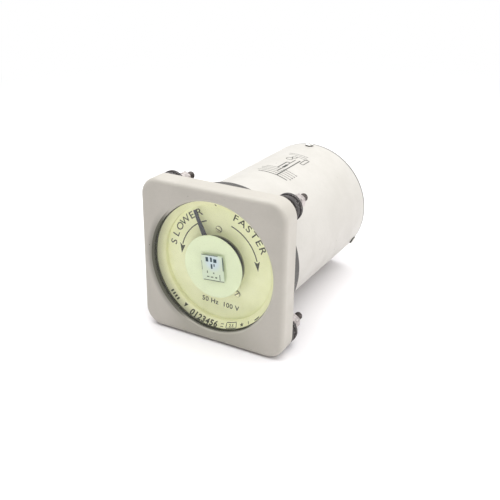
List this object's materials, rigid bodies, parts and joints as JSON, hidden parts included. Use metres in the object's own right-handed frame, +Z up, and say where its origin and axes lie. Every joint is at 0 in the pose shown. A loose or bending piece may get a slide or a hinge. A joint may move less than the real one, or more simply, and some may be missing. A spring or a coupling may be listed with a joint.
{
  "type": "panel meter",
  "caption": "Square-front synchroscope panel meter with a long round case, a continuously turning pointer and studs for the panel.",
  "frame": {"origin": "centre of the panel plane: on the case's axis, in the plane of the bezel's rear face, which seats on the panel", "axes": "+Y along the case's axis into the panel, +X to the right of someone reading the dial, +Z up"},
  "size_m": [0.098, 0.137, 0.098],
  "materials": {
    "bezel_paint": "semi-matt warm grey enamel on a casting",
    "case_paint": "semi-gloss cream-white enamel on sheet steel",
    "window_glass": "clear flat glass",
    "seal_rubber": "matt black rubber",
    "disc_paint": "matt pale green-cream paint",
    "dial_paint": "matt yellowed cream paint with dark print",
    "rim_paint": "matt yellowed cream paint",
    "dark_steel": "blackened steel, dull",
    "collar_black": "black enamel, semi-matt",
    "stud_black": "blackened steel, oily",
    "buffer_rubber": "matt black rubber",
    "zinc_steel": "zinc-plated steel, dulled",
    "pointer_paint": "matt brown-black paint",
    "bright_steel": "bright turned steel",
    "brass": "turned brass",
    "soft_iron": "soft iron laminations, varnished",
    "copper_winding": "varnished copper wire",
    "bakelite": "brown-black moulded phenolic",
    "ceramic": "green vitreous enamel on ceramic",
    "plate_black": "black anodised aluminium",
    "aluminium": "plain aluminium",
    "jewel_red": "polished synthetic ruby",
    "lead_insulation": "red sleeving"
  },
  "bodies": {
    "housing": {"bezel": "bezel_paint", "window_glass": "window_glass", "window_seal": "seal_rubber", "centre_disc": "disc_paint", "dial_rim": "rim_paint", "dial_plate": "dial_paint", "dial_screws": "dark_steel", "dial_pillars": "brass", "case_collar": "collar_black", "collar_grubs": "bright_steel", "case_tube": "case_paint", "rear_dish": "case_paint", "rear_screws": "dark_steel", "mounting_studs": "stud_black", "stud_buffers": "buffer_rubber", "stud_washers": "zinc_steel", "stud_nuts": "zinc_steel", "stud_spring_washers": "zinc_steel", "stud_locknuts": "zinc_steel", "front_plate": "plate_black", "front_bush": "brass", "front_jewel": "jewel_red", "stator_core": "soft_iron", "pole_coils": "copper_winding", "axial_bobbin": "bakelite", "axial_coil": "copper_winding", "coil_clamp": "aluminium", "bearing_plate": "aluminium", "jewel_screw": "brass", "jewel_locknut": "brass", "tie_rods": "bright_steel", "rod_spacers": "bright_steel", "rod_nuts": "zinc_steel", "component_board": "bakelite", "resistors": "ceramic", "resistor_bolts": "bright_steel", "resistor_nuts": "zinc_steel", "capacitor": "aluminium", "choke_core": "soft_iron", "choke_coil": "copper_winding", "leads": "lead_insulation", "terminal_board": "bakelite", "board_screws": "zinc_steel", "terminal_studs": "brass", "terminal_nuts": "brass"},
    "moving_system": {"spindle": "bright_steel", "pointer_hub": "brass", "pointer": "pointer_paint", "tail_weight": "bright_steel", "balance_cross": "brass", "balance_weights": "brass", "armature": "soft_iron"}
  },
  "joints": [
    {"name": "pointer_turn", "type": "hinge", "parent": "housing", "child": "moving_system", "pos_m": [0, 0, 0], "axis": [0, 1, 0], "continuous": true}
  ]
}
